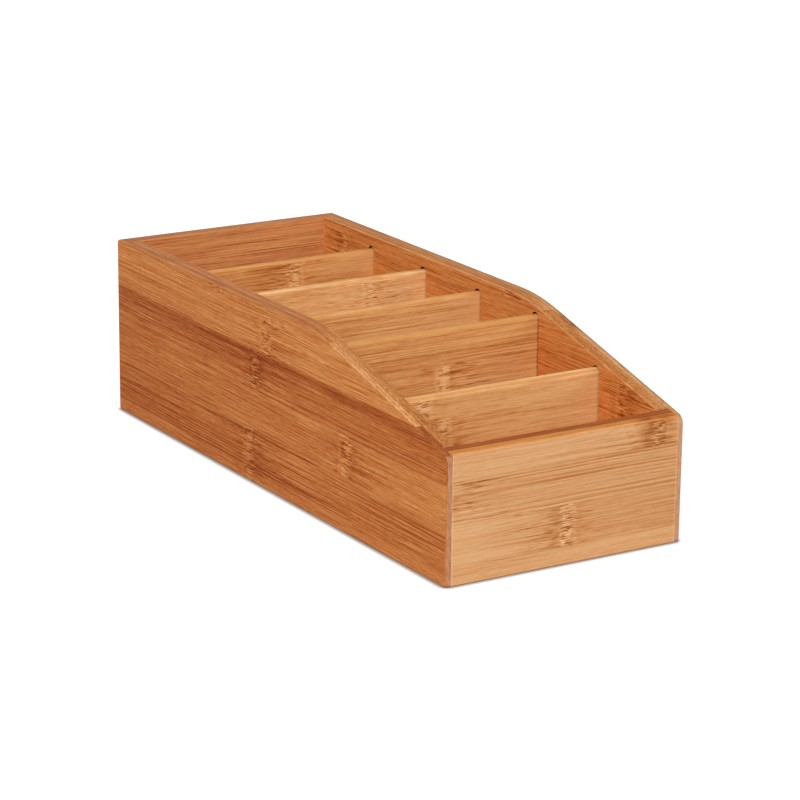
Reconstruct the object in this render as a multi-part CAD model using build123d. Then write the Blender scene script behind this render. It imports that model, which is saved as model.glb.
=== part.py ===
from build123d import *
import os

# A bamboo storage box with a sloping front and five cross dividers, in millimetres.
# X runs across the box, Y along it from the low front end (-Y) to the tall back end (+Y),
# and Z up from the surface that it stands on, with the origin under the middle of the box.

# Outside of the box
LENGTH = 350.0
WIDTH = 140.0
HEIGHT = 100.0

# Side panels, seen from the side: a level rim, an easy bend and a straight slope to the front
FRONT_HEIGHT = 66.0
SLOPE_RUN = 130.0
BEND_RADIUS = 130.0
FRONT_CORNER_RADIUS = 5.0
BACK_CORNER_RADIUS = 2.5
FOOT_CORNER_RADIUS = 1.5

# Each wall is a board of two bamboo plies, glued face to face
SIDE_OUTER_PLY = 4.0
SIDE_INNER_PLY = 6.0
END_OUTER_PLY = 5.0
END_INNER_PLY = 5.0

# The ends of the side panels are rabbeted, which leaves a lip outside the front and back panels
LIP = 3.2

# The front panel's top is nearly level: its front arris stands above the line of the side
# panels' slope, and its rear arris lies below it
FRONT_ARRIS_PROUD = 1.1
REAR_ARRIS_LOW = 0.5

# Dividers, with their tops below the level rim. Where the slope would stand less than
# LEAST_COVER above that height, a divider's top is set below the slope instead
DIVIDER_COUNT = 5
DIVIDER_THICKNESS = 6.0
DIVIDER_ROUNDING = 2.4
RIM_DROP = 7.5
LEAST_COVER = 4.0
SLOPE_DROP = 5.2

# Grooves in the side panels for the dividers, and in all four walls for the base. A divider has
# the play on each side of it to spare, and stands against the back of its grooves
GROOVE_DEPTH = 3.0
GROOVE_PLAY = 0.4
RIM_GROOVE_GAP = 1.4
SLOPE_GROOVE_GAP = 1.1

# Base panel
BASE_THICKNESS = 5.0
BASE_RISE = 4.0

# Sanded arrises
ARRIS = 0.8

# Places that follow from the sizes above
HALF_WIDTH = WIDTH / 2
INSIDE_X = HALF_WIDTH - SIDE_OUTER_PLY - SIDE_INNER_PLY
SIDE_GLUE_X = HALF_WIDTH - SIDE_OUTER_PLY
PANEL_END_X = HALF_WIDTH - LIP
HOUSED_X = INSIDE_X + GROOVE_DEPTH
END_Y = LENGTH / 2
INSIDE_Y = END_Y - END_OUTER_PLY - END_INNER_PLY
END_GLUE_Y = END_Y - END_OUTER_PLY
HOUSED_Y = INSIDE_Y + GROOVE_DEPTH
BEND_Y = SLOPE_RUN - END_Y
BASE_TOP = BASE_RISE + BASE_THICKNESS
DIVIDER_HALF = DIVIDER_THICKNESS / 2
COMPARTMENT = (2 * INSIDE_Y - DIVIDER_COUNT * DIVIDER_THICKNESS) / (DIVIDER_COUNT + 1)

# A cutter runs this far past the face that it opens
CUT_PAST = 5.0


def slope_height(y):
    """Height of the line of the slope at a place along the box."""
    return FRONT_HEIGHT + (y + END_Y) * (HEIGHT - FRONT_HEIGHT) / SLOPE_RUN


def block(x, y, z):
    """A box between two places on each axis, each given as a pair."""
    centre = [(low + high) / 2 for low, high in (x, y, z)]
    return Pos(*centre) * Box(x[1] - x[0], y[1] - y[0], z[1] - z[0])


def board(corners, x):
    """A board across the box: an outline of (y, z, radius) corners, between two places on X."""
    outline = Polygon(*[(y, z) for y, z, radius in corners], align=None)
    for y, z, radius in corners:
        if radius > 0:
            outline = fillet(outline.vertices().sort_by_distance((y, z, 0))[0], radius)
    return extrude(Plane.YZ.offset(x[0]) * outline, amount=x[1] - x[0])


def divider_places():
    """Middle of each pair of divider grooves along the box, from the back one to the front one."""
    pitch = COMPARTMENT + DIVIDER_THICKNESS
    return [INSIDE_Y + DIVIDER_HALF - (number + 1) * pitch for number in range(DIVIDER_COUNT)]


def under_slope(y):
    """Whether a divider's top is set below the slope, because the slope is low above it."""
    return slope_height(y) - LEAST_COVER < HEIGHT - RIM_DROP


def divider_top(y):
    """Height of a divider's top."""
    return slope_height(y) - SLOPE_DROP if under_slope(y) else HEIGHT - RIM_DROP


def groove_top(y):
    """Height of the round end of a divider's groove, which stops above the divider."""
    return divider_top(y) + (SLOPE_GROOVE_GAP if under_slope(y) else RIM_GROOVE_GAP)


def base_groove():
    """Cutter for the groove round the four walls that houses the base panel."""
    height = (BASE_RISE, BASE_TOP)
    across = block((-HOUSED_X, HOUSED_X), (-INSIDE_Y, INSIDE_Y), height)
    ends = block((-PANEL_END_X, PANEL_END_X), (-HOUSED_Y, HOUSED_Y), height)
    return across, ends


def divider_groove(y):
    """Cutter for the stopped groove of one divider in both side panels, with its round top."""
    radius = DIVIDER_HALF + GROOVE_PLAY
    centre = groove_top(y) - radius
    slot = block((-HOUSED_X, HOUSED_X), (y - radius, y + radius), (BASE_RISE, centre))
    round_end = Pos(0, y, centre) * Rot(0, 90, 0) * Cylinder(radius, 2 * HOUSED_X)
    return slot + round_end


def side_board():
    """The left side panel before it is told apart into plies."""
    corners = [
        (-END_Y, 0, FOOT_CORNER_RADIUS),
        (END_Y, 0, FOOT_CORNER_RADIUS),
        (END_Y, HEIGHT, BACK_CORNER_RADIUS),
        (BEND_Y, HEIGHT, BEND_RADIUS),
        (-END_Y, FRONT_HEIGHT, FRONT_CORNER_RADIUS),
    ]
    panel = board(corners, (-HALF_WIDTH, -INSIDE_X))
    outer_arrises = panel.faces().sort_by(Axis.X)[0].edges()
    panel = fillet(outer_arrises, ARRIS)
    inner_face = panel.faces().sort_by(Axis.X)[-1]
    top_arrises = [edge for edge in inner_face.edges() if edge.center().Z > FRONT_HEIGHT]
    panel = fillet(top_arrises, ARRIS)
    for side in (-1, 1):
        ends = sorted((side * INSIDE_Y, side * (END_Y + CUT_PAST)))
        panel -= block((-PANEL_END_X, -INSIDE_X + CUT_PAST), ends, (-CUT_PAST, HEIGHT + CUT_PAST))
    panel -= base_groove()[0]
    for y in divider_places():
        panel -= divider_groove(y)
    return panel


def end_board(corners):
    """The front or the back panel, housed between the lips, before it is told apart into plies."""
    return board(corners, (-PANEL_END_X, PANEL_END_X)) - base_groove()[1]


def front_board():
    """The low front panel with its nearly level top."""
    corners = [
        (-END_Y, 0, ARRIS),
        (-INSIDE_Y, 0, 0),
        (-INSIDE_Y, slope_height(-INSIDE_Y) - REAR_ARRIS_LOW, ARRIS),
        (-END_Y, FRONT_HEIGHT + FRONT_ARRIS_PROUD, ARRIS),
    ]
    return end_board(corners)


def back_board():
    """The tall back panel, level with the rim and rounded like the side panels' back corners."""
    corners = [
        (INSIDE_Y, 0, 0),
        (END_Y, 0, ARRIS),
        (END_Y, HEIGHT, BACK_CORNER_RADIUS),
        (INSIDE_Y, HEIGHT, ARRIS),
    ]
    return end_board(corners)


def plies(panel, x, y):
    """The part of a board between two places on X and on Y, over its whole height."""
    return panel & block(x, y, (-CUT_PAST, HEIGHT + CUT_PAST))


def divider(y):
    """A cross divider that stands on the base, with its ends in the side panels' grooves at y."""
    top = divider_top(y)
    front = y + GROOVE_PLAY - DIVIDER_HALF
    back = y + GROOVE_PLAY + DIVIDER_HALF
    corners = [
        (front, BASE_TOP, 0),
        (back, BASE_TOP, 0),
        (back, top, DIVIDER_ROUNDING),
        (front, top, DIVIDER_ROUNDING),
    ]
    return board(corners, (-HOUSED_X, HOUSED_X))


def base_panel():
    """The base, housed in the grooves of the four walls."""
    return block((-HOUSED_X, HOUSED_X), (-HOUSED_Y, HOUSED_Y), (BASE_RISE, BASE_TOP))


def build():
    """Every piece of the box, by name."""
    whole_length = (-END_Y - CUT_PAST, END_Y + CUT_PAST)
    side_outer = (-HALF_WIDTH - CUT_PAST, -SIDE_GLUE_X)
    side_inner = (-SIDE_GLUE_X, 0)
    whole_width = (-HALF_WIDTH, HALF_WIDTH)
    pieces = {"base_panel": base_panel()}

    side = side_board()
    for name, x in (("outer", side_outer), ("inner", side_inner)):
        ply = plies(side, x, whole_length)
        pieces[f"left_side_{name}_ply"] = ply
        pieces[f"right_side_{name}_ply"] = mirror(ply, about=Plane.YZ)

    front = front_board()
    pieces["front_panel_outer_ply"] = plies(front, whole_width, (-END_Y - CUT_PAST, -END_GLUE_Y))
    pieces["front_panel_inner_ply"] = plies(front, whole_width, (-END_GLUE_Y, 0))

    back = back_board()
    pieces["back_panel_outer_ply"] = plies(back, whole_width, (END_GLUE_Y, END_Y + CUT_PAST))
    pieces["back_panel_inner_ply"] = plies(back, whole_width, (0, END_GLUE_Y))

    for number, y in enumerate(divider_places(), start=1):
        pieces[f"divider_{number}"] = divider(y)
    return pieces


os.makedirs("parts", exist_ok=True)
for piece_name, piece in build().items():
    solids = piece.solids()
    export_step(solids[0] if len(solids) == 1 else Compound(solids), f"parts/{piece_name}.step")
    size = piece.bounding_box().size
    print(f"{piece_name}: {len(solids)} solid, {size.X:.1f} x {size.Y:.1f} x {size.Z:.1f} mm")
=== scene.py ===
import math
from typing import NamedTuple

import bpy
from mathutils import Matrix, Vector


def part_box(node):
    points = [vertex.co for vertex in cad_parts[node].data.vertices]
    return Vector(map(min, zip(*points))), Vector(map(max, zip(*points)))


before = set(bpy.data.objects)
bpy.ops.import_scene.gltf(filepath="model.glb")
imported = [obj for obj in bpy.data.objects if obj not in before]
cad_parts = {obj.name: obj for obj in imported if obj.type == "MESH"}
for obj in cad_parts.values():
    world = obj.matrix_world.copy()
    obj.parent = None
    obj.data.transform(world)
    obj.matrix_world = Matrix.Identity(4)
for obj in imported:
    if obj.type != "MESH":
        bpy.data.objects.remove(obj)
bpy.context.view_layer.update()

# Looks of a bamboo storage box with a sloping front. The frame is in metres: +Z up,
# +Y towards the tall back end. Sizes in the materials are in millimetres.

MM = 0.001


def linear(red, green, blue):
    """A colour given as sRGB from 0 to 255, in the linear values that Blender takes."""
    levels = [channel / 255 for channel in (red, green, blue)]
    values = [level / 12.92 if level <= 0.04045 else ((level + 0.055) / 1.055) ** 2.4 for level in levels]
    return (*values, 1.0)


# Sizes of the bamboo's structure, in millimetres. A reach starts at a knuckle's middle.
STRIP_WIDTH = 22.0
GLUE_LINE = 0.16
# END_LINE is the width of the line in which a face ends, a painted highlight or painted shade
END_LINE = 0.5
FIBRE_DRIFT = 1.4
FIBRE_SWING = 1.2
FINE_WIDTH = 0.56
KNUCKLE_WANDER = 1.6
KNUCKLE_RAGGEDNESS = 8.0
KNUCKLE_BLUR = 1.0
UNREST_REACH = 30.0
DASH_REACH = 30.0
CROWD_REACH = 56.0
CROWD_UNEVENNESS = 90.0
SMUDGE_REACH = 30.0
STAIN_REACH = 16.0
STAIN_PLACE = 1.5
COLLAR_PLACE = 1.4
COLLAR_HALF = 1.8

# Length and width of the marks on a face, in millimetres
LONG_LINE = (240.0, 0.72)
LINE_GROUP = (110.0, 6.0)
BAND = (150.0, 5.0)
TICK = (6.0, 0.5)
CURL = (6.0, 0.9)
CROWDED_LINE = (60.0, 0.75)
DASH = (7.5, 0.62)
CLOUD = (9.0, 3.0)
SMUDGE = (10.0, 1.9)
BLUSH = (60.0, 5.0)

# Size of the marks on a sanded edge along it, through the board and down into it
STREAK = (38.0, 0.8, 0.8)
SPECK = (2.5, 0.7, 0.45)
PATCH = (11.0, 2.4)

# Size of the marks on an end: into it, over it and through the board
END_DOT = (30.0, 0.8, 0.8)
END_PATCH = (30.0, 5.0, 1.0)

# How much the marks change the tone
LINE_DEPTH = 0.34
BAND_DEPTH = 0.24
TICK_DEPTH = 0.45
CURL_DEPTH = 0.28
CROWDED_DEPTH = 0.20
DASH_DEPTH = 0.26
STAIN_DEPTH = 0.48
SMUDGE_DEPTH = 0.14
GLUE_DEPTH = 0.12
STREAK_DEPTH = 0.55
PATCH_DEPTH = 0.40
SPECK_DEPTH = 0.5
EDGE_STAIN_DEPTH = 0.5
END_PATCH_DEPTH = 0.6
END_DOT_DEPTH = 0.16

# How much paler it is between long lines, on a curl and in the collar beside a knuckle
LINE_PALENESS = 0.05
CURL_PALENESS = 0.62
COLLAR_PALENESS = 0.08

# How much lighter an edge is where it slopes or is rounded: partly because it cuts across the fibres, and
# partly, on the rounded arrises, a painted highlight
SLOPE_PALENESS = 0.15

# How far the noise moves from one strip, and from one ply, to the next
STRIP_SHIFT = 37.7
PLY_SHIFT = 8.0

# Satin lacquer, the height of its relief in millimetres, and the shares of it that fine fibres,
# pores and curls take
LACQUER_ROUGHNESS = 0.56
LACQUER_SHEEN = 0.08
RELIEF = 0.06
FINE_RELIEF = -0.7
PORE_RELIEF = -0.4
CURL_RELIEF = 1.2

AXES = {"X": 0, "Y": 1, "Z": 2}

# A knuckle's place is kept as a share of this range along a board, and AWAY is past every board's end
PLACE_RANGE = 400.0
AWAY = 195.0

# Millimetres of grain over which a strip gets lighter by its fade
FADE_LENGTH = 100.0


class Strip(NamedTuple):
    """One bamboo strip of a board.

    knuckle is the place of its knuckle along the grain, and side is the side of it where the fibres
    crowd. lines is the strength of its long dark lines, stain that of the brown patch around its
    knuckle, and curls how pale its knuckle's curls are. lean says how much lighter its upper edge is
    than its lower one, and fade how much lighter it gets over 100 mm of grain. rim is how much
    lighter its sanded edge is.
    """
    tone: float
    knuckle: float = AWAY
    side: int = 1
    lines: float = 0.4
    stain: float = 0.15
    lean: float = 0.0
    fade: float = 0.0
    rim: float = 0.0
    curls: float = 0.4


class Nodes:
    """A node tree, with a call for each kind of sum that it needs."""

    def __init__(self, tree):
        self.tree = tree

    def feed(self, socket, value):
        """Links a socket, or sets its own value where nothing varies."""
        if isinstance(value, bpy.types.NodeSocket):
            self.tree.links.new(value, socket)
        else:
            socket.default_value = value

    def node(self, kind, inputs=None, **settings):
        """A node with its settings, and its inputs by name or number."""
        made = self.tree.nodes.new(kind)
        for key, value in settings.items():
            setattr(made, key, value)
        for key, value in (inputs or {}).items():
            self.feed(made.inputs[key], value)
        return made

    def math(self, operation, *values):
        return self.node("ShaderNodeMath", dict(enumerate(values)), operation=operation).outputs[0]

    def fold(self, operation, values):
        """One operation on the first two values, then on its result and the third, and so on."""
        total = values[0]
        for value in values[1:]:
            total = self.math(operation, total, value)
        return total

    def plus(self, *values):
        return self.fold("ADD", values)

    def times(self, *values):
        return self.fold("MULTIPLY", values)

    def largest(self, *values):
        return self.fold("MAXIMUM", values)

    def minus(self, a, b):
        return self.math("SUBTRACT", a, b)

    def size(self, value):
        return self.math("ABSOLUTE", value)

    def smooth(self, value, start, end, low=0.0, high=1.0):
        """Eases from low to high while the value goes from start to end."""
        inputs = {"Value": value, "From Min": start, "From Max": end, "To Min": low, "To Max": high}
        return self.node("ShaderNodeMapRange", inputs, interpolation_type="SMOOTHSTEP").outputs[0]

    def seen(self):
        """1 for what the camera sees, directly, mirrored or through glass, and 0 for light that falls."""
        path = self.node("ShaderNodeLightPath").outputs
        return self.largest(path["Is Camera Ray"], path["Is Glossy Ray"], path["Is Transmission Ray"])


class Shader(Nodes):
    """A material and its node tree, with the textures and colours that it needs."""

    def __init__(self, name):
        self.material = bpy.data.materials.new(name)
        self.material.use_nodes = True
        super().__init__(self.material.node_tree)
        self.surface = self.tree.nodes["Principled BSDF"]

    def split(self, vector):
        return self.node("ShaderNodeSeparateXYZ", {0: vector}).outputs

    def in_cells(self, places, cell):
        """Places as a vector, in which one step is a size of cell along each place."""
        shares = [self.math("DIVIDE", place, size) for place, size in zip(places, cell)]
        return self.node("ShaderNodeCombineXYZ", dict(enumerate(shares))).outputs[0]

    def noise(self, places, cell, detail=1.0, roughness=0.5, distortion=0.0):
        """Noise from 0 to 1, about 0.5 in the middle, with a size of cell along each place."""
        inputs = {"Vector": self.in_cells(places, cell), "Scale": 1.0, "Detail": detail,
                  "Roughness": roughness, "Distortion": distortion}
        return self.node("ShaderNodeTexNoise", inputs).outputs["Fac"]

    def spread(self, noise, width):
        """Noise moved to lie around 0, and made as wide as given."""
        return self.times(self.minus(noise, 0.5), width)

    def dots(self, places, cell):
        """Round spots in cells, each with a strength of its own."""
        inputs = {"Vector": self.in_cells(places, cell), "Scale": 1.0}
        made = self.node("ShaderNodeTexVoronoi", inputs).outputs
        chance = self.node("ShaderNodeSeparateColor", {0: made["Color"]}).outputs[0]
        return self.times(self.smooth(made["Distance"], 0.45, 0.15), self.smooth(chance, 0.2, 0.8))

    def ramp(self, value, stops, steps=False):
        """Colours along a value from 0 to 1, blended or in steps."""
        made = self.node("ShaderNodeValToRGB", {"Fac": value})
        made.color_ramp.interpolation = "CONSTANT" if steps else "LINEAR"
        elements = made.color_ramp.elements
        while len(elements) < len(stops):
            elements.new(1.0)
        for element, (position, colour) in zip(elements, stops):
            element.position = position
            element.color = colour
        return made.outputs["Color"]

    def blend(self, share, a, b, kind="MIX"):
        """Colour a with b over it, by a share from 0 to 1."""
        made = self.node("ShaderNodeMix", data_type="RGBA", blend_type=kind)
        self.feed(made.inputs["Factor"], share)
        colours = [socket for socket in made.inputs if socket.type == "RGBA"]
        self.feed(colours[0], a)
        self.feed(colours[1], b)
        return [socket for socket in made.outputs if socket.type == "RGBA"][0]


def palette(*colours):
    """Colours spaced evenly along the tone, from the darkest fibre to the palest flesh."""
    return [(i / (len(colours) - 1), linear(*colour)) for i, colour in enumerate(colours)]


# Faces of the boards
CARAMEL = palette((128, 52, 16), (167, 83, 32), (200, 120, 62), (224, 150, 84), (246, 186, 124))
AMBER = palette((136, 60, 16), (180, 94, 38), (214, 132, 66), (231, 158, 90), (246, 186, 122))
TAN = palette((136, 68, 30), (176, 98, 52), (208, 137, 82), (224, 160, 102), (240, 186, 132))
HONEY = palette((152, 82, 34), (194, 122, 63), (226, 166, 104), (241, 192, 134), (250, 214, 164))
STRAW = palette((150, 86, 38), (190, 125, 70), (214, 158, 107), (229, 181, 130), (248, 216, 172))

# Sanded edges along the boards, and ends cut across the fibres
RIM = palette((100, 44, 14), (142, 68, 24), (174, 105, 47), (199, 136, 82), (230, 172, 116))
RIM_TAN = palette((110, 58, 26), (148, 86, 38), (167, 108, 56), (189, 138, 90), (216, 170, 126))
RIM_ORANGE = palette((136, 62, 14), (166, 92, 32), (189, 117, 50), (206, 138, 72), (226, 164, 102))
RIM_BROWN = palette((104, 38, 6), (130, 58, 12), (150, 76, 22), (172, 98, 44), (198, 128, 74))
RIM_GOLD = palette((120, 60, 14), (166, 98, 36), (197, 138, 75), (212, 151, 88), (242, 200, 152))
ENDS = palette((124, 72, 48), (160, 102, 72), (196, 140, 103), (214, 160, 122), (234, 190, 154))

# What a blush under the lacquer multiplies the wood's colour by
BLUSH_TINT = (1.0, 0.88, 0.86, 1.0)

# Painted shade: a near-black brown put in the routed grooves, where shade falls. Then how far from the
# middle there are grooves, the height above which what faces down is a groove's top, and how softly a
# groove starts
GROOVE_SHADE = linear(74, 28, 8)
GROOVES_END = 160.0
GROOVE_TOPS = 4.0
GROOVE_BLUR = 0.5


class EdgeLine(NamedTuple):
    """A line along a board's edge: its place through the board, its reach and how dark it is. Some are glue
    lines between plies, and some are painted highlight or painted shade along an arris.
    """
    place: float
    reach: float
    depth: float


class Bamboo(Shader):
    """Lacquered bamboo: strips side by side across a board, each with its fibres and a knuckle.

    grain is the axis along the strips, and across the one over them. strips lists them from the
    lowest one up, and first_edge is where the second one starts. seed moves the noise, so that each
    board has fibres of its own. knuckle_half is half the width of the knuckles. u, v and w are a
    point's places along the grain, across the board and through it, in millimetres.
    """

    def __init__(self, name, grain, across, strips, first_edge, seed, knuckle_half=3.4):
        super().__init__(name)
        coordinates = self.node("ShaderNodeTexCoord").outputs
        scaled = self.node("ShaderNodeVectorMath", {0: coordinates["Object"], "Scale": 1 / MM},
                           operation="SCALE")
        places = self.split(scaled.outputs[0])
        facing = self.split(coordinates["Normal"])
        depth = (set(AXES) - {grain, across}).pop()
        axes = [AXES[axis] for axis in (grain, across, depth)]
        self.u, self.v, self.w = (places[axis] for axis in axes)
        self.on_end, self.on_edge, self.on_face = (self.size(facing[axis]) for axis in axes)
        self.upward = facing[AXES["Z"]]
        self.knuckle_half = knuckle_half
        self.find_strip(strips, first_edge, seed)
        self.find_knuckle()
        self.bend_fibres()

    def strip_facts(self, share, strips, facts):
        """Looks up three facts, each from 0 to 1, of the strip that a point lies in."""
        stops = [(i / len(strips), (*facts(strip), 1.0)) for i, strip in enumerate(strips)]
        colour = self.ramp(share, stops, steps=True)
        return self.node("ShaderNodeSeparateColor", {0: colour}).outputs[:3]

    def find_strip(self, strips, first_edge, seed):
        """Finds the strip that a point lies in, and how far it is from the strip's glue lines.

        Facts that may be below 0 are kept as their distance from 0.5.
        """
        level = self.math("DIVIDE", self.minus(self.v, first_edge), STRIP_WIDTH)
        number = self.plus(self.math("FLOOR", level), 1.0)
        share = self.math("DIVIDE", self.plus(number, 0.5), float(len(strips)))
        tone, knuckle, lean = self.strip_facts(
            share, strips,
            lambda strip: (strip.tone, 0.5 + strip.knuckle / PLACE_RANGE, 0.5 + strip.lean))
        side, self.line_strength, self.stain_strength = self.strip_facts(
            share, strips, lambda strip: (0.5 + strip.side / 2, strip.lines, strip.stain))
        fade, rim, self.paleness = self.strip_facts(
            share, strips, lambda strip: (0.5 + strip.fade, 0.5 + strip.rim, strip.curls))
        leaning = self.times(self.minus(lean, 0.5), self.minus(self.math("FRACT", level), 0.5))
        fading = self.times(self.minus(fade, 0.5), self.u, 1 / FADE_LENGTH)
        self.tone = self.plus(tone, leaning, fading)
        self.rim = self.plus(self.minus(rim, 0.5), fading)
        self.knuckle = self.spread(knuckle, PLACE_RANGE)
        self.side = self.spread(side, 2.0)
        self.from_glue = self.times(self.math("PINGPONG", level, 0.5), STRIP_WIDTH)
        self.shift = self.plus(self.times(number, STRIP_SHIFT), seed)

    def face_noise(self, along, over, detail=1.0, roughness=0.5, distortion=0.0):
        """Noise that differs from strip to strip: its cells are along and over millimetres."""
        return self.noise((self.u, self.v, self.shift), (along, over, 1.0), detail, roughness, distortion)

    def find_knuckle(self):
        """Finds the knuckle, which isn't quite straight and has a ragged outline, and what is beside it."""
        wander = self.noise((self.v, self.shift, self.w), (4.0, 1.0, 6.0), 2.0, 0.6)
        along = self.minus(self.minus(self.u, self.knuckle), self.spread(wander, 2 * KNUCKLE_WANDER))
        near = self.size(along)
        self.beside = self.times(along, self.side)
        self.unrest = self.smooth(near, UNREST_REACH, self.knuckle_half)
        outline = self.plus(near, self.spread(self.face_noise(5.0, 0.8), KNUCKLE_RAGGEDNESS))
        self.core = self.smooth(outline, self.knuckle_half + KNUCKLE_BLUR, self.knuckle_half - KNUCKLE_BLUR)

    def bend_fibres(self):
        """Fibres drift a little from straight, and more beside a knuckle."""
        drift = self.spread(self.face_noise(75.0, 11.0), FIBRE_DRIFT)
        swing = self.spread(self.face_noise(10.0, 4.0), FIBRE_SWING)
        aside = self.plus(drift, self.times(swing, self.unrest))
        self.fibre_u = self.plus(self.u, self.times(self.shift, 3.0))
        self.fibre_v = self.plus(self.v, aside, self.shift)

    def fibres(self, along, over, detail=1.0, roughness=0.5):
        """Noise drawn out along the fibres: its cells are along and over millimetres."""
        return self.noise((self.fibre_u, self.fibre_v, self.w), (along, over, over), detail, roughness)

    def face_tone(self, fine_depth, fine_length):
        """Tone of a board's face away from its knuckles, with fine fibres of a strength and length."""
        self.fine = self.fibres(fine_length, FINE_WIDTH, 1.5, 0.65)
        self.lines = self.fibres(*LONG_LINE)
        groups = self.smooth(self.fibres(*LINE_GROUP), 0.36, 0.60, 0.3, 1.0)
        dark = self.times(self.smooth(self.lines, 0.50, 0.66, 0.0, LINE_DEPTH), groups, self.line_strength)
        pale = self.smooth(self.lines, 0.44, 0.30, 0.0, LINE_PALENESS)
        bands = self.spread(self.fibres(*BAND), BAND_DEPTH * fine_depth)
        ticks = self.spread(self.fibres(*TICK), TICK_DEPTH * fine_depth)
        value = self.minus(self.plus(self.tone, bands, pale), dark)
        return self.minus(value, self.plus(self.spread(self.fine, fine_depth), ticks))

    def curl_tone(self):
        """Tone that the curls add on a knuckle itself: pale ones, and dark ones between them."""
        curl = self.face_noise(*CURL, roughness=0.6, distortion=0.6)
        self.curls = self.smooth(curl, 0.42, 0.60)
        pale = self.times(self.paleness, self.smooth(curl, 0.41, 0.55, 0.0, CURL_PALENESS))
        dark = self.times(self.minus(1.25, self.paleness), self.smooth(curl, 0.50, 0.38, 0.0, CURL_DEPTH))
        return self.times(self.core, self.minus(pale, dark))

    def crowd_darkness(self):
        """Darkness of the lines and dashes that crowd on one side of a knuckle and end unevenly."""
        ending = self.plus(self.beside, self.spread(self.face_noise(18.0, 0.9), CROWD_UNEVENNESS))
        start = self.smooth(self.beside, -1.0, 3.0)
        crowd = self.times(self.smooth(ending, CROWD_REACH, 0.2 * CROWD_REACH), start)
        crowded = self.smooth(self.fibres(*CROWDED_LINE), 0.50, 0.66, -0.03, CROWDED_DEPTH)
        dashing = self.times(self.smooth(ending, DASH_REACH, 0.2 * DASH_REACH), start)
        dashes = self.smooth(self.fibres(*DASH), 0.50, 0.66, -0.02, DASH_DEPTH)
        return self.plus(self.times(crowded, crowd), self.times(dashes, dashing))

    def find_stain(self):
        """Strength of the brown patch around a knuckle, which is cloudy."""
        from_stain = self.size(self.minus(self.beside, STAIN_PLACE))
        close = self.smooth(from_stain, STAIN_REACH, 0.1 * STAIN_REACH)
        clouds = self.smooth(self.fibres(*CLOUD), 0.30, 0.62, 0.45, 1.0)
        return self.times(close, clouds, self.stain_strength)

    def find_smudges(self):
        """Strength of the smudges on the side of a knuckle where no fibres crowd."""
        quiet = self.times(self.smooth(self.beside, -SMUDGE_REACH, -0.2 * SMUDGE_REACH),
                           self.smooth(self.beside, 0.0, -3.0))
        return self.times(self.smooth(self.fibres(*SMUDGE), 0.50, 0.68), quiet)

    def knuckle_tone(self):
        """What a knuckle adds to the face's tone, with a pale collar on the side where no fibres crowd."""
        self.stain = self.find_stain()
        self.smudges = self.find_smudges()
        dark = self.plus(self.crowd_darkness(), self.times(self.stain, STAIN_DEPTH),
                         self.times(self.smudges, SMUDGE_DEPTH))
        from_collar = self.size(self.plus(self.beside, self.knuckle_half + COLLAR_PLACE))
        collar = self.smooth(from_collar, COLLAR_HALF, COLLAR_HALF / 3, 0.0, COLLAR_PALENESS)
        return self.plus(self.minus(self.curl_tone(), dark), collar)

    def face_colour(self, tones, fine_depth, fine_length, face_end, end_line_shading):
        """Colour of a board's face, with its glue lines, a painted highlight or painted shade in the line
        that it ends in, and a blush.
        """
        value = self.plus(self.face_tone(fine_depth, fine_length), self.knuckle_tone())
        value = self.minus(value, self.smooth(self.from_glue, GLUE_LINE, 0.4 * GLUE_LINE, 0.0, GLUE_DEPTH))
        # The line where a face ends is lighter as a painted highlight, or darker as painted shade where it
        # meets a wall
        if face_end is not None:
            last = self.smooth(self.size(self.u), face_end - 2 * END_LINE, face_end - END_LINE)
            value = self.plus(value, self.times(last, end_line_shading))
        colour = self.ramp(self.largest(value, 0.0), tones)
        blush = self.plus(self.smooth(self.fibres(*BLUSH, detail=2.0), 0.50, 0.72, 0.0, 0.4),
                          self.times(self.smudges, 0.5), self.times(self.stain, 0.4))
        return self.blend(blush, colour, BLUSH_TINT, "MULTIPLY")

    def edge_tone(self, tone, rim):
        """Tone of a sanded edge: streaks along it, soft patches, and specks where it slopes."""
        streaks = self.spread(self.noise((self.u, self.w, self.v), STREAK, 2.0), STREAK_DEPTH)
        patches = self.spread(self.noise((self.u, self.w, self.shift), (*PATCH, 1.0), 2.0), PATCH_DEPTH)
        specks = self.spread(self.noise((self.u, self.w, self.v), SPECK), SPECK_DEPTH)
        sloping = self.smooth(self.on_end, 0.1, 0.24)
        value = self.plus(streaks, patches, rim, tone, self.times(specks, sloping))
        return self.minus(value, self.times(self.stain, EDGE_STAIN_DEPTH))

    def edge_colour(self, tones, tone, lines):
        """Colour of a sanded edge, lighter where it slopes and where it rounds (there partly a painted
        highlight), with the lines along it.
        """
        value = self.plus(self.edge_tone(tone, self.rim),
                          self.smooth(self.on_edge, 0.995, 0.97, 0.0, SLOPE_PALENESS))
        for line in lines:
            close = self.smooth(self.size(self.minus(self.w, line.place)), line.reach, 0.25 * line.reach)
            value = self.minus(value, self.times(close, line.depth))
        return self.ramp(value, tones)

    def arris_colour(self, tones, tone):
        """Colour of a sanded arris, paler partly from wear and partly as a painted highlight, which follows
        its strip's rim only where that is dark.
        """
        rim = self.math("MINIMUM", self.plus(self.rim, SLOPE_PALENESS), 0.0)
        return self.ramp(self.edge_tone(tone, rim), tones)

    def end_tone(self, tone):
        """Tone of an end, where bundles of fibres show as dots."""
        dots = self.times(self.dots((self.u, self.v, self.w), END_DOT), END_DOT_DEPTH)
        patches = self.spread(self.noise((self.u, self.v, self.w), END_PATCH, 2.0), END_PATCH_DEPTH)
        return self.minus(self.plus(patches, tone), dots)

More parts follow.
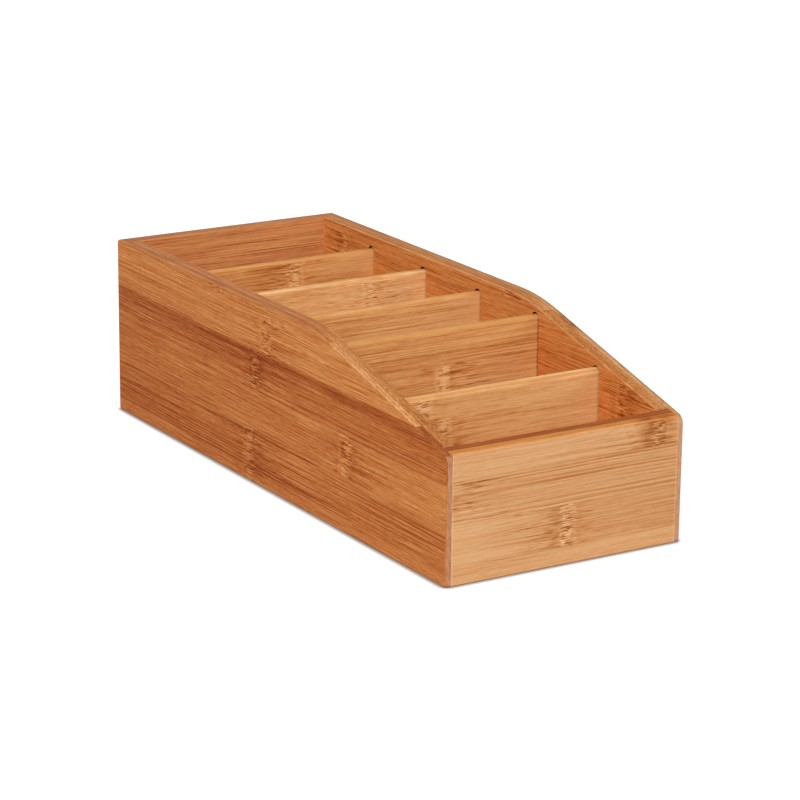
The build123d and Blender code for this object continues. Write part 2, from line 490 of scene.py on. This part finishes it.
    def in_groove(self, routed):
        """Whether a point lies in a routed groove, which gets painted shade: on its bottom, its sides or
        its round top.
        """
        bottom = self.times(self.smooth(self.size(self.w), routed, routed + GROOVE_BLUR), self.on_face)
        sides = self.times(self.smooth(self.on_end, 0.30, 0.45),
                           self.smooth(self.size(self.u), GROOVES_END, GROOVES_END - GROOVE_BLUR))
        top = self.times(self.smooth(self.upward, -0.05, -0.20),
                         self.smooth(self.v, GROOVE_TOPS, GROOVE_TOPS + 2.0))
        return self.largest(bottom, sides, top)

    def finish(self, tones, edge, arris, end=0.5, fine_depth=0.85, fine_length=36.0, edge_lines=(),
               face_end=None, end_line_shading=0.14, routed=None):
        """Mixes the looks of the face, the edges, the ends and the arrises, and sets the lacquer.

        tones is the face's palette. edge is a palette and a tone, end the ends' tone, and arris the
        tone that the sanded arrises get from the edge's palette, pale partly from wear and partly as a
        painted highlight. fine_depth and fine_length are the strength and length of the face's fine
        fibres, and edge_lines are the lines along the edge: glue lines and lines of painted highlight or
        shade.
        face_end is how far from the middle the face ends in a line, and end_line_shading how much lighter
        this line is: a painted highlight above 0 and painted shade below 0. routed is the depth past which
        a face is the bottom of a groove, which gets painted shade.
        """
        colour = self.face_colour(tones, fine_depth, fine_length, face_end, end_line_shading)
        on_edge = self.smooth(self.on_edge, 0.10, 0.45)
        colour = self.blend(on_edge, colour, self.edge_colour(*edge, edge_lines))
        on_end = self.smooth(self.on_end, 0.45, 0.85)
        colour = self.blend(on_end, colour, self.ramp(self.end_tone(end), ENDS))
        # The rounded arrises, paler partly from wear and partly as a painted highlight
        turning = self.times(self.smooth(self.on_face, 0.22, 0.45), self.smooth(self.on_face, 0.97, 0.88))
        colour = self.blend(turning, colour, self.arris_colour(edge[0], arris))
        # Painted shade in the grooves
        if routed is not None:
            colour = self.blend(self.in_groove(routed), colour, GROOVE_SHADE)
        self.feed(self.surface.inputs["Base Color"], colour)
        self.lacquer(on_end)
        return self.material

    def lacquer(self, on_end):
        """Satin lacquer over open fibres."""
        rough = self.plus(self.times(self.fine, 0.2), self.times(on_end, 0.1), LACQUER_ROUGHNESS)
        self.feed(self.surface.inputs["Roughness"], rough)
        self.surface.inputs["Specular IOR Level"].default_value = LACQUER_SHEEN
        pores = self.smooth(self.lines, 0.5, 0.68, 0.0, PORE_RELIEF)
        height = self.plus(self.times(self.fine, FINE_RELIEF), pores,
                           self.times(self.core, self.curls, CURL_RELIEF))
        bump = self.node("ShaderNodeBump", {"Height": height, "Distance": RELIEF * MM, "Strength": 0.8})
        self.feed(self.surface.inputs["Normal"], bump.outputs[0])


def dress(node, material):
    """Gives a CAD node its material."""
    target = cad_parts[node]
    target.data.materials.clear()
    target.data.materials.append(material)


# Strips of each board, from the lowest up
LEFT_OUTER = [Strip(0.50, 21.0, -1, fade=-0.02, curls=0.35),
              Strip(0.475, 20.5, -1, lines=1.0, lean=0.06, fade=-0.03, curls=0.35),
              Strip(0.52, -80.0, -1, fade=-0.04),
              Strip(0.41, 15.0, -1, lines=0.7, stain=0.3, lean=-0.20, rim=-0.37, curls=0.3),
              Strip(0.63, 1.5, -1, lines=0.7, lean=0.04, fade=-0.02, rim=0.08, curls=0.25),
              Strip(0.57, 58.0, lines=0.3, rim=-0.10, curls=0.1)]
LEFT_INNER = [Strip(0.55, -40.0), Strip(0.50, 88.0, -1, lean=0.1), Strip(0.45, -120.0, lean=-0.1),
              Strip(0.55, 30.0, -1, rim=-0.13),
              Strip(0.50, -150.0, stain=0.3, lean=0.1, fade=0.12, rim=0.04),
              Strip(0.55, 120.0, -1)]
RIGHT_OUTER = [Strip(0.54), Strip(0.46, 66.0, lean=0.1), Strip(0.58, -12.0, -1, lines=0.3),
               Strip(0.60, 128.0, lean=-0.1, rim=0.12),
               Strip(0.44, -74.0, -1, lines=0.6, stain=1.0, lean=0.1, rim=0.15),
               Strip(0.56, 20.0, fade=-0.10, rim=0.12)]
RIGHT_INNER = [Strip(0.52, 60.0), Strip(0.50, -90.0, lean=0.1), Strip(0.50, 20.0, -1),
               Strip(0.50, -137.0, -1, stain=0.35, rim=-0.04, curls=0.3),
               Strip(0.54, 141.0, lines=0.5, stain=0.15, lean=0.05, rim=-0.14),
               Strip(0.56, -28.0, -1, lines=0.6)]
FRONT_OUTER = [Strip(0.57, lines=0.2), Strip(0.51, 0.4, -1, lines=0.3, stain=0.4, fade=-0.16, curls=0.6),
               Strip(0.53, -72.0, lines=0.75, stain=0.0, lean=-0.06, fade=-0.04),
               Strip(0.54, 55.0, -1, lines=0.25, stain=1.0, fade=-0.03, curls=0.5)]
FRONT_INNER = [Strip(0.50), Strip(0.50, 40.0, -1), Strip(0.55, -52.0), Strip(0.45)]
BACK_OUTER = [Strip(0.55), Strip(0.48, 41.0, -1, lines=0.6, lean=0.1), Strip(0.58, -48.0, lines=0.3),
              Strip(0.50, lines=0.6, lean=-0.1), Strip(0.56, -20.0, -1, stain=0.5, lean=0.1),
              Strip(0.50, 50.0)]
BACK_INNER = [Strip(0.50, 30.0), Strip(0.46, -46.0, -1, lean=0.1), Strip(0.52, 50.0),
              Strip(0.48, 5.0, -1), Strip(0.50, lines=0.9, lean=0.05, fade=0.12),
              Strip(0.50, lines=0.7, fade=0.12)]
BASE = [Strip(0.50, 90.0), Strip(0.55, -60.0, -1, lean=0.1), Strip(0.45, 20.0),
        Strip(0.56, -130.0, -1, lean=-0.1), Strip(0.50, 60.0), Strip(0.54, -10.0, -1, lean=0.1),
        Strip(0.46, 130.0)]


class Divider(NamedTuple):
    """One divider: its strips, where the second one starts, and the tones of its top and its arrises.

    fine_depth and fine_length are the strength and length of its fine fibres, and end_line_shading is
    how much lighter the line at its ends is, where it meets the walls: below 0, a painted shade.
    """
    strips: list
    first_edge: float
    top: float
    arris: float
    fine_depth: float
    fine_length: float
    end_line_shading: float


# From the back of the box to its front
DIVIDERS = [
    Divider([Strip(0.50, -30.0), Strip(0.55, 40.0, -1), Strip(0.46, -48.0),
             Strip(0.46, lines=0.3, fade=0.10),
             Strip(0.40, 8.3, -1, lines=0.25, stain=0.0, lean=0.05, fade=0.22, curls=0.4)],
            10.0, top=0.31, arris=0.70, fine_depth=0.65, fine_length=26.0, end_line_shading=-0.04),
    Divider([Strip(0.50, 30.0), Strip(0.48, -40.0, -1), Strip(0.50, 48.0),
             Strip(0.55, lines=0.3, fade=0.10),
             Strip(0.58, 25.0, lines=0.2, fade=0.20, curls=0.35)],
            10.0, top=0.50, arris=0.87, fine_depth=0.85, fine_length=12.0, end_line_shading=-0.04),
    Divider([Strip(0.55, -10.0), Strip(0.52, 44.0, -1), Strip(0.50, -28.0),
             Strip(0.44, lines=0.3, fade=0.05),
             Strip(0.48, lines=0.5, fade=0.16)],
            9.5, top=0.54, arris=0.74, fine_depth=0.75, fine_length=36.0, end_line_shading=-0.16),
    Divider([Strip(0.50, -30.0), Strip(0.50, 40.0, -1), Strip(0.48, -48.0),
             Strip(0.43, 2.3, lines=0.3, stain=0.0, fade=0.06, curls=0.45),
             Strip(0.43, lines=0.7, fade=0.06)],
            8.0, top=0.53, arris=0.62, fine_depth=0.68, fine_length=36.0, end_line_shading=-0.20),
    Divider([Strip(0.55, 20.0), Strip(0.54, 48.0),
             Strip(0.49, -35.0, -1, lines=0.4, fade=0.22, curls=0.4),
             Strip(0.56, -46.0, -1, lines=0.3, stain=0.0, fade=0.12, curls=0.4)],
            20.5, top=0.80, arris=0.72, fine_depth=0.65, fine_length=20.0, end_line_shading=-0.08),
]

# Where the second strip starts, up a wall and over the base
WALL_EDGE = 7.7
FRONT_EDGE = 9.3
BASE_EDGE = -55.0


def extent(node, axis):
    """How near to the middle of the box and how far from it a CAD node lies, in millimetres."""
    distances = [abs(corner[AXES[axis]]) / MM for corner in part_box(node)]
    return round(min(distances), 2), round(max(distances), 2)


# Depths of the faces and of the glue lines between the plies, and how far the end panels reach
SIDE_INSIDE, SIDE_SEAM = extent("right_side_inner_ply", "X")
SIDE_OUTSIDE = extent("right_side_outer_ply", "X")[1]
END_SEAM, END_OUTSIDE = extent("front_panel_outer_ply", "Y")
PANEL_END = extent("front_panel_outer_ply", "X")[1]

# How deep in its edge a ply has its line; on an outer ply this line is a painted highlight or painted shade
# along its outer arris
OUTER_LINE_INSET = 0.7
INNER_LINE_INSET = 1.2
BACK_LINE_INSET = 2.2

# How far past a side's inner face the bottom of a groove counts, and a divider's end line of painted shade
# lies
GROOVE_START = 1.5
DIVIDER_LINE = 0.4

# Where the noise starts in each board
LEFT_SEED = 3.0
RIGHT_SEED = 23.0
FRONT_SEED = 43.0
BACK_SEED = 63.0
BASE_SEED = 83.0
DIVIDER_SEEDS = [97.0, 104.0, 111.0, 118.0, 125.0]


def dress_side(name, side, strips, seed, edges, arrises, end, outer_arris_shading):
    """A side wall of two plies.

    side is -1 on the left and 1 on the right. strips, edges and arrises are pairs, with what the
    outer ply takes before what the inner one does.
    """
    # Along the outer arris: a painted highlight where the depth is below 0 (left) and painted shade where
    # above 0 (right)
    line = EdgeLine(side * (SIDE_OUTSIDE - OUTER_LINE_INSET), 1.0, outer_arris_shading)
    ply = Bamboo(f"{name}_outer", "Y", "Z", strips[0], WALL_EDGE, seed, knuckle_half=5.2)
    dress(f"{name}_side_outer_ply", ply.finish(CARAMEL, edges[0], arrises[0], end, fine_depth=1.05,
                                               edge_lines=[line]))
    line = EdgeLine(side * (SIDE_SEAM - INNER_LINE_INSET), 0.9, -0.08)
    ply = Bamboo(f"{name}_inner", "Y", "Z", strips[1], WALL_EDGE, seed + PLY_SHIFT, knuckle_half=4.0)
    dress(f"{name}_side_inner_ply", ply.finish(AMBER, edges[1], arrises[1], fine_depth=1.25,
                                               edge_lines=[line], routed=SIDE_INSIDE + GROOVE_START))


def dress_sides():
    """The left and right walls."""
    dress_side("left", -1, (LEFT_OUTER, LEFT_INNER), LEFT_SEED, edges=((RIM, 0.52), (RIM, 0.50)),
               arrises=(0.63, 0.76), end=0.46, outer_arris_shading=-0.09)
    dress_side("right", 1, (RIGHT_OUTER, RIGHT_INNER), RIGHT_SEED,
               edges=((RIM_TAN, 0.50), (RIM, 0.52)), arrises=(0.45, 0.78), end=0.58,
               outer_arris_shading=0.30)


def dress_ends():
    """The front and back panels, each of two plies."""
    seam = EdgeLine(-END_SEAM, 0.6, 0.3)
    ply = Bamboo("front_outer", "X", "Z", FRONT_OUTER, FRONT_EDGE, FRONT_SEED, knuckle_half=3.8)
    dress("front_panel_outer_ply", ply.finish(STRAW, (RIM_ORANGE, 0.55), 0.8, fine_depth=0.6,
                                              edge_lines=[seam], face_end=PANEL_END))
    ply = Bamboo("front_inner", "X", "Z", FRONT_INNER, FRONT_EDGE, FRONT_SEED + PLY_SHIFT)
    dress("front_panel_inner_ply", ply.finish(CARAMEL, (RIM_BROWN, 0.48), 0.6, edge_lines=[seam]))

    # Painted shade: a dark line along the back's outer arris
    line = EdgeLine(END_OUTSIDE - BACK_LINE_INSET, 1.5, 0.40)
    ply = Bamboo("back_outer", "X", "Z", BACK_OUTER, WALL_EDGE, BACK_SEED)
    dress("back_panel_outer_ply", ply.finish(HONEY, (RIM, 0.48), 0.45, edge_lines=[line],
                                             face_end=PANEL_END))
    ply = Bamboo("back_inner", "X", "Z", BACK_INNER, WALL_EDGE, BACK_SEED + PLY_SHIFT)
    dress("back_panel_inner_ply", ply.finish(TAN, (RIM, 0.5), 0.7))


def dress_inside():
    """The base and the dividers."""
    ply = Bamboo("base", "Y", "X", BASE, BASE_EDGE, BASE_SEED)
    dress("base_panel", ply.finish(HONEY, (RIM, 0.5), 0.5))
    for number, (divider, seed) in enumerate(zip(DIVIDERS, DIVIDER_SEEDS), start=1):
        ply = Bamboo(f"divider_{number}_bamboo", "X", "Z", divider.strips, divider.first_edge, seed)
        dress(f"divider_{number}", ply.finish(
            HONEY, (RIM_GOLD, divider.top), divider.arris, fine_depth=divider.fine_depth,
            fine_length=divider.fine_length, face_end=SIDE_INSIDE + DIVIDER_LINE,
            end_line_shading=divider.end_line_shading))


def add_object(name, data):
    """A new object in the scene."""
    made = bpy.data.objects.new(name, data)
    bpy.context.scene.collection.objects.link(made)
    return made


# Camera at the photograph's place
CAMERA_PLACE = (-0.82784, -1.35823, 0.51000)
CAMERA_AZIMUTH = -31.7085
CAMERA_ELEVATION = 16.4672
CAMERA_ROLL = 0.6358
CAMERA_LENS = 139.017
CAMERA_SENSOR = 36.0


def make_camera():
    """The camera, turned about the upright axis, raised and rolled by its three angles."""
    azimuth, elevation, roll = (math.radians(a) for a in (CAMERA_AZIMUTH, CAMERA_ELEVATION, CAMERA_ROLL))
    back = Vector((math.sin(azimuth) * math.cos(elevation), -math.cos(azimuth) * math.cos(elevation),
                   math.sin(elevation)))
    level = Vector((math.cos(azimuth), math.sin(azimuth), 0.0))
    upright = back.cross(level)
    right = level * math.cos(roll) + upright * math.sin(roll)
    up = back.cross(right)
    data = bpy.data.cameras.new("camera")
    data.lens = CAMERA_LENS
    data.sensor_width = CAMERA_SENSOR
    data.clip_start = 0.05
    camera = add_object("camera", data)
    turn = Matrix((right, up, back)).transposed().to_4x4()
    camera.matrix_world = Matrix.Translation(CAMERA_PLACE) @ turn
    bpy.context.scene.camera = camera


# What the lamps face, and how much light the world gives, though it looks white
LAMP_AIM = (0.0, 0.0, 0.05)
WORLD_LIGHT = 0.22


def softbox(name, place, size, watts):
    """A square area lamp that faces the box."""
    data = bpy.data.lights.new(name, "AREA")
    data.size = size
    data.energy = watts
    lamp = add_object(name, data)
    lamp.location = place
    lamp.rotation_euler = (Vector(LAMP_AIM) - Vector(place)).to_track_quat("-Z", "Y").to_euler()


def grey(value):
    """A colour without a hue, in linear values."""
    return (value, value, value, 1.0)


def light_studio():
    """A strong softbox at the front left, two weak ones and a white world."""
    softbox("key", (-1.7, -1.85, 2.1), size=2.0, watts=95.0)
    softbox("fill", (1.7, -1.2, 1.3), size=1.4, watts=16.0)
    softbox("back", (0.6, 1.8, 1.3), size=1.2, watts=12.0)

    world = bpy.data.worlds.new("studio")
    bpy.context.scene.world = world
    world.use_nodes = True
    background = world.node_tree.nodes["Background"]
    background.inputs["Color"].default_value = grey(1.0)
    nodes = Nodes(world.node_tree)
    nodes.feed(background.inputs["Strength"], nodes.smooth(nodes.seen(), 0.0, 1.0, WORLD_LIGHT, 1.0))


# The floor's half width in metres, how pale it is to the light and to the camera, and its own glow
FLOOR_HALF = 3.0
FLOOR_ALBEDO = 0.6
FLOOR_SEEN = 0.4
FLOOR_GLOW = 0.75

# How close to the box the floor's glow is dimmed into a painted contact shadow, in millimetres
CONTACT_REACH = 4.4


def make_floor():
    """A pale floor that is white to the camera, and darker only in shadow and close to the box, where a
    painted contact shadow dims its glow.
    """
    mesh = bpy.data.meshes.new("floor")
    corners = [(x * FLOOR_HALF, y * FLOOR_HALF, 0.0) for x, y in ((-1, -1), (1, -1), (1, 1), (-1, 1))]
    mesh.from_pydata(corners, [], [(0, 1, 2, 3)])
    floor = add_object("floor", mesh)
    paint = Shader("floor")
    paint.surface.inputs["Roughness"].default_value = 0.9
    paint.surface.inputs["Specular IOR Level"].default_value = 0.0
    seen = paint.seen()
    colour = paint.blend(seen, grey(FLOOR_ALBEDO), grey(FLOOR_SEEN))
    paint.feed(paint.surface.inputs["Base Color"], colour)
    nearby = paint.node("ShaderNodeAmbientOcclusion", {"Distance": CONTACT_REACH * MM}, samples=16)
    # The glow is dimmed close to the box: a painted contact shadow
    open_air = paint.smooth(nearby.outputs["AO"], 0.52, 1.0)
    paint.surface.inputs["Emission Color"].default_value = grey(1.0)
    paint.feed(paint.surface.inputs["Emission Strength"], paint.times(seen, open_air, FLOOR_GLOW))
    mesh.materials.append(paint.material)


bpy.context.scene.view_settings.view_transform = "Standard"
dress_sides()
dress_ends()
dress_inside()
make_camera()
light_studio()
make_floor()
